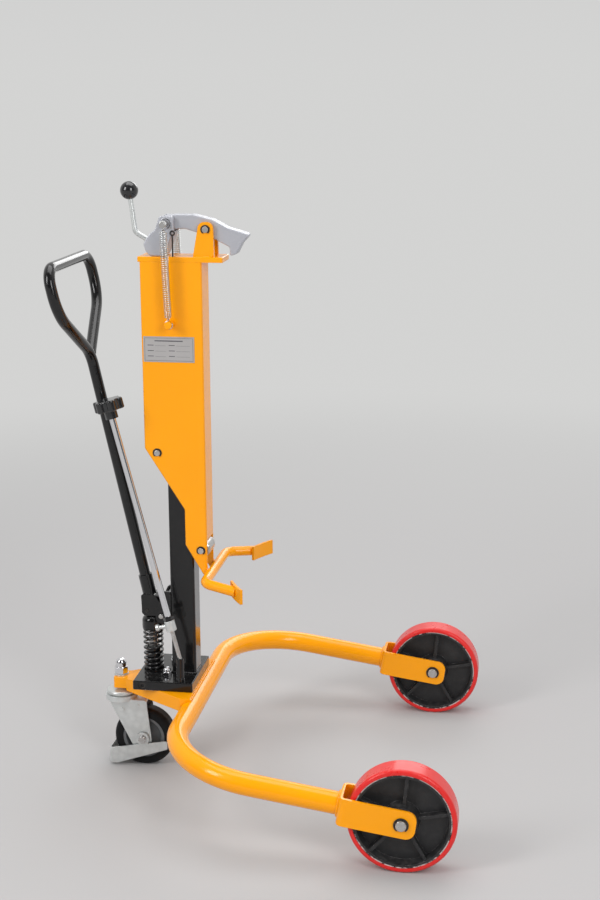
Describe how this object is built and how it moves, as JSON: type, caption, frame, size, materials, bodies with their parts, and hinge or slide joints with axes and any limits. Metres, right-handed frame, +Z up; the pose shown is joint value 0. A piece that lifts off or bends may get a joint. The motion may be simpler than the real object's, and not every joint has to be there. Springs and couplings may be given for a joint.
{
  "type": "hydraulic drum truck",
  "caption": "Hydraulic drum truck with bent-tube wheeled frame, mast, lifting carriage, rim gripper, pump lever and release rod.",
  "frame": {"origin": "on the floor, under the middle of the overall length and width", "axes": "+X forwards to the open end that takes the drum, +Y to the left of somebody pushing it, +Z up"},
  "size_m": [0.8114, 0.816, 1.2015],
  "materials": {
    "yellow_paint": "smooth gloss powder coat",
    "black_paint": "gloss black enamel",
    "grey_cast_paint": "silver-grey paint over a casting",
    "zinc": "dull zinc plate",
    "bright_steel": "bright plated steel",
    "plain_steel": "turned steel",
    "dark_clip": "blackened spring steel",
    "red_tread": "satin polyurethane",
    "black_core": "satin black casting",
    "caster_tread": "satin black rubber",
    "caster_hub_grey": "grey moulded nylon",
    "black_plastic": "gloss black phenolic",
    "black_spring": "gloss black spring wire",
    "label_stock": "pale satin label"
  },
  "bodies": {
    "chassis": {"frame_tube": "yellow_paint", "caster_bracket": "yellow_paint", "wheel_fork_left": "yellow_paint", "wheel_fork_right": "yellow_paint", "wheel_axles": "plain_steel", "axle_clips": "dark_clip", "pump_block": "black_paint", "block_screws": "bright_steel", "port_plugs": "dark_clip", "mast_tube": "black_paint", "cylinder_barrel": "plain_steel", "cylinder_gland": "plain_steel", "lever_bracket": "black_paint", "lever_pivot_pin": "plain_steel", "pump_barrel": "black_paint", "valve_housing": "black_paint", "return_spring": "black_spring", "caster_stem": "zinc", "stem_washer": "zinc", "stem_dome_nut": "bright_steel"},
    "wheel_left": {"tyre_left": "red_tread", "wheel_core_left": "black_core", "wheel_bearings_left": "plain_steel"},
    "wheel_right": {"tyre_right": "red_tread", "wheel_core_right": "black_core", "wheel_bearings_right": "plain_steel"},
    "caster_swivel": {"caster_fork": "zinc", "caster_axle_bolt": "plain_steel"},
    "caster_wheel": {"caster_tyre": "caster_tread", "caster_hub": "caster_hub_grey"},
    "brake": {"brake_pedal": "zinc"},
    "carriage": {"carriage_channel": "yellow_paint", "top_plate": "yellow_paint", "clamp_ears": "yellow_paint", "stop_eye": "dark_clip", "belly_bar": "yellow_paint", "belly_pads": "yellow_paint", "label_plate": "label_stock", "pivot_pins": "plain_steel", "pin_clips": "dark_clip", "spring_studs": "yellow_paint", "piston_rod": "bright_steel", "tension_springs": "zinc"},
    "upper_guide": {"upper_roller": "plain_steel"},
    "lower_guide": {"lower_roller": "plain_steel"},
    "gripper": {"clamp_arm": "grey_cast_paint", "cam_pin": "plain_steel"},
    "cam": {"cam_lever": "grey_cast_paint", "cam_lever_rod": "zinc", "ball_knob": "black_plastic"},
    "pump_lever": {"lever_socket": "black_paint", "press_pin": "plain_steel", "handle_tube": "black_paint"},
    "press_roller": {"pressure_roller": "plain_steel"},
    "plunger": {"pump_plunger": "plain_steel", "spring_cap": "black_paint"},
    "release": {"release_knob": "black_plastic", "release_rod": "bright_steel", "rod_collar": "zinc", "valve_spindle": "plain_steel"}
  },
  "joints": [
    {"name": "wheel_left_spin", "type": "hinge", "parent": "chassis", "child": "wheel_left", "pos_m": [0.30567, 0.366, 0.1], "axis": [0, 1, 0], "continuous": true},
    {"name": "wheel_right_spin", "type": "hinge", "parent": "chassis", "child": "wheel_right", "pos_m": [0.30567, -0.366, 0.1], "axis": [0, 1, 0], "continuous": true},
    {"name": "caster_swivel_turn", "type": "hinge", "parent": "chassis", "child": "caster_swivel", "pos_m": [-0.31483, 0, 0.1457], "axis": [0, 0, 1], "continuous": true},
    {"name": "caster_wheel_spin", "type": "hinge", "parent": "caster_swivel", "child": "caster_wheel", "pos_m": [-0.26632, 0, 0.0625], "axis": [0, 1, 0], "continuous": true},
    {"name": "brake_tilt", "type": "hinge", "parent": "caster_swivel", "child": "brake", "pos_m": [-0.26632, 0, 0.0625], "axis": [0, 1, 0], "range_deg": [0, 15]},
    {"name": "carriage_lift", "type": "slide", "parent": "chassis", "child": "carriage", "axis": [0, 0, 1], "range_m": [-0.191, 0.059]},
    {"name": "upper_roller_turn", "type": "hinge", "parent": "carriage", "child": "upper_guide", "pos_m": [-0.21732, 0, 0.675], "axis": [0, 1, 0], "range_deg": [-660, 205]},
    {"name": "lower_roller_turn", "type": "hinge", "parent": "carriage", "child": "lower_guide", "pos_m": [-0.13332, 0, 0.477], "axis": [0, 1, 0], "range_deg": [-205, 660]},
    {"name": "gripper_tilt", "type": "hinge", "parent": "carriage", "child": "gripper", "pos_m": [-0.11432, 0, 1.113], "axis": [0, -1, 0], "range_deg": [0, 10.5], "deforming": ["tension_springs"]},
    {"name": "cam_turn", "type": "hinge", "parent": "gripper", "child": "cam", "pos_m": [-0.19032, 0, 1.124], "axis": [0, 1, 0], "range_deg": [0, 84]},
    {"name": "pump_lever_swing", "type": "hinge", "parent": "chassis", "child": "pump_lever", "pos_m": [-0.22032, 0, 0.332], "axis": [0, -1, 0], "range_deg": [0, 45], "stiffness_Nm_per_rad": 7.6, "springref_deg": -22.35},
    {"name": "press_roller_turn", "type": "hinge", "parent": "pump_lever", "child": "press_roller", "pos_m": [-0.25233, 0, 0.339], "axis": [0, 1, 0], "continuous": true},
    {"name": "plunger_stroke", "type": "slide", "parent": "chassis", "child": "plunger", "axis": [0, 0, -1], "range_m": [0, 0.0256], "deforming": ["return_spring"]},
    {"name": "release_turn", "type": "hinge", "parent": "chassis", "child": "release", "pos_m": [-0.17333, -0.066, 0.258], "axis": [-0.2436, 0, 0.9699], "range_deg": [0, 120]}
  ],
  "couplings": [
    {"joint": "upper_roller_turn", "follows": "carriage_lift", "rad_per_m": 59.88},
    {"joint": "lower_roller_turn", "follows": "carriage_lift", "rad_per_m": -59.88},
    {"joint": "cam_turn", "follows": "gripper_tilt", "ratio": 8},
    {"joint": "plunger_stroke", "follows": "pump_lever_swing", "m_per_rad": 0.032}
  ]
}
